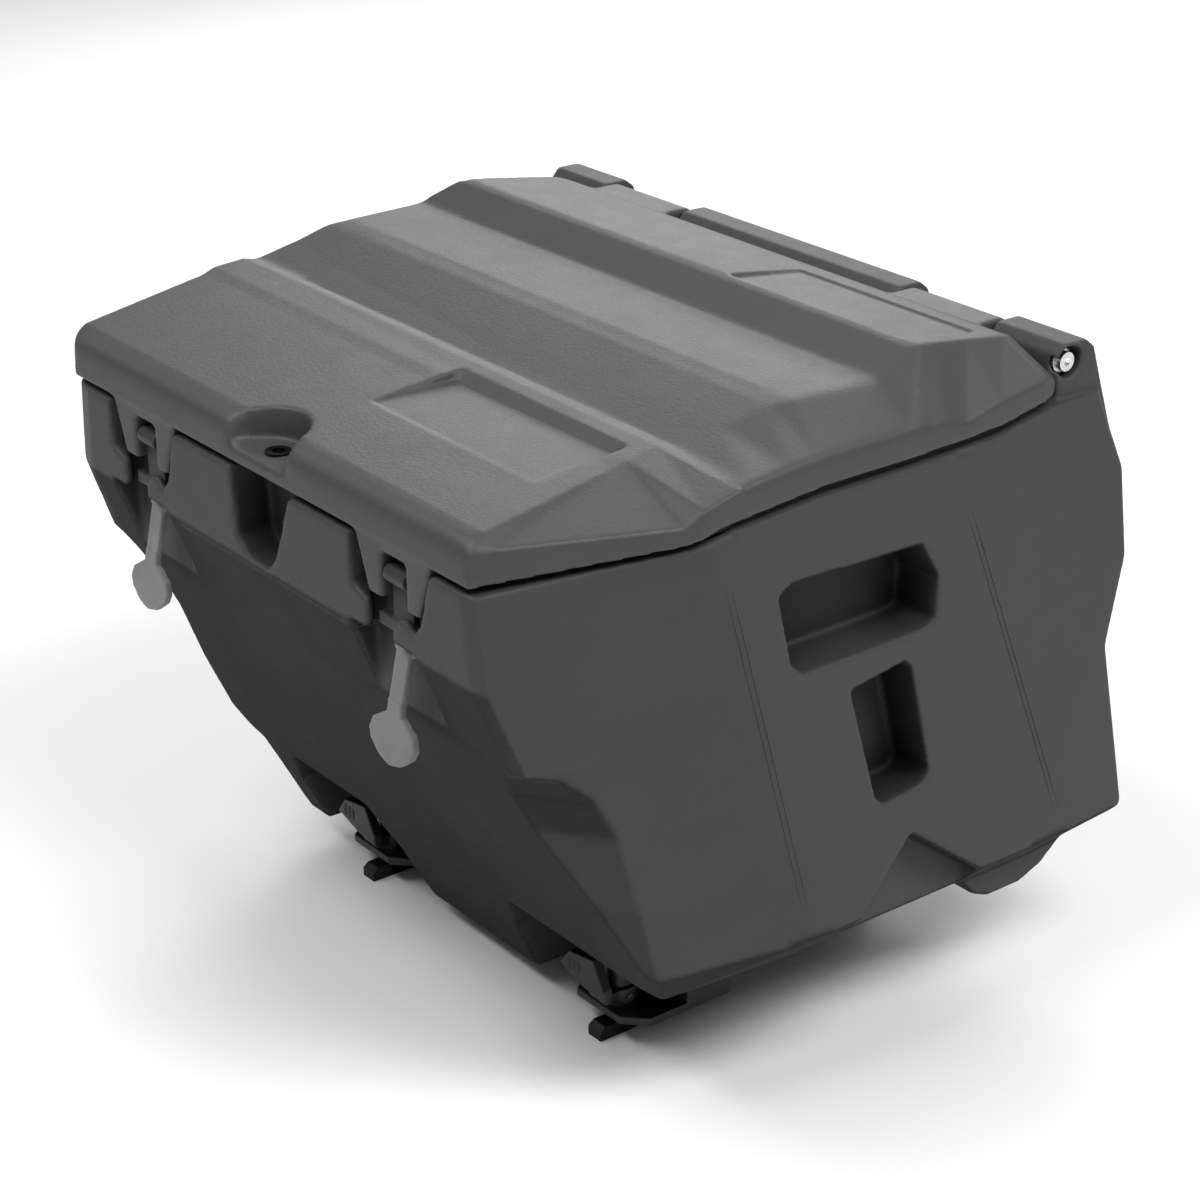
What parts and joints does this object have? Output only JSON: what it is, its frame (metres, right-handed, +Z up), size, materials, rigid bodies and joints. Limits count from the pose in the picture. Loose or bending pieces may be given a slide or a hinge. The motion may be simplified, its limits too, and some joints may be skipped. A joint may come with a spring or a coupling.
{
  "type": "saddlebag",
  "caption": "Rigid moulded cargo box with a hinged double-wall lid, rubber pull latches, side hand recesses and turning T-hook mounts underneath.",
  "frame": {"origin": "middle of the bounding box, on the ground under the mount hooks", "axes": "+Z up, -Y towards the latched front, +Y towards the hinge, +X to the right seen from the front"},
  "size_m": [0.654, 0.6246, 0.572],
  "materials": {
    "base_plastic": "fine moulded grain",
    "lid_plastic": "fine moulded grain",
    "black_rubber": "matte",
    "bright_steel": "zinc plated",
    "black_screws": "black oxide",
    "brass_inserts": "machined",
    "white_plastic": "smooth",
    "black_plastic": "fine moulded grain",
    "black_steel": "powder coat"
  },
  "bodies": {
    "base": {"base_shell": "base_plastic", "floor_inserts": "brass_inserts", "hinge_bolt_left": "bright_steel", "hinge_bolt_right": "bright_steel", "hinge_inserts": "brass_inserts", "hinge_washers": "bright_steel", "mount_housing_left": "black_plastic", "mount_housing_right": "black_plastic", "mount_screws": "black_screws", "rear_hook_left": "black_steel", "rear_hook_right": "black_steel", "rear_hook_screws": "black_screws"},
    "lid": {"lid_shell": "lid_plastic", "lid_liner": "lid_plastic", "lid_gasket": "black_rubber", "lock_eyelet": "bright_steel", "hinge_bushings": "white_plastic", "latch_pin_left": "bright_steel", "latch_pin_right": "bright_steel"},
    "latch_left": {"latch_left": "black_rubber"},
    "latch_right": {"latch_right": "black_rubber"},
    "turn_left": {"mount_lever_left": "black_plastic", "t_hook_left": "black_steel", "lever_pin_left": "bright_steel", "hook_washer_left": "bright_steel"},
    "turn_right": {"mount_lever_right": "black_plastic", "t_hook_right": "black_steel", "lever_pin_right": "bright_steel", "hook_washer_right": "bright_steel"}
  },
  "joints": [
    {"name": "lid_hinge", "type": "hinge", "parent": "base", "child": "lid", "pos_m": [0, 0.2143, 0.54], "axis": [-1, 0, 0], "range_deg": [0, 90]},
    {"name": "latch_swing_left", "type": "hinge", "parent": "lid", "child": "latch_left", "pos_m": [-0.172, -0.2967, 0.454], "axis": [-1, 0, 0], "range_deg": [0, 100], "deforming": ["latch_left"]},
    {"name": "mount_turn_left", "type": "hinge", "parent": "base", "child": "turn_left", "pos_m": [-0.162, -0.0937, 0.036], "axis": [0, 0, 1], "range_deg": [0, 90]},
    {"name": "latch_swing_right", "type": "hinge", "parent": "lid", "child": "latch_right", "pos_m": [0.172, -0.2967, 0.454], "axis": [-1, 0, 0], "range_deg": [0, 100], "deforming": ["latch_right"]},
    {"name": "mount_turn_right", "type": "hinge", "parent": "base", "child": "turn_right", "pos_m": [0.162, -0.0937, 0.036], "axis": [0, 0, 1], "range_deg": [0, 90]}
  ]
}
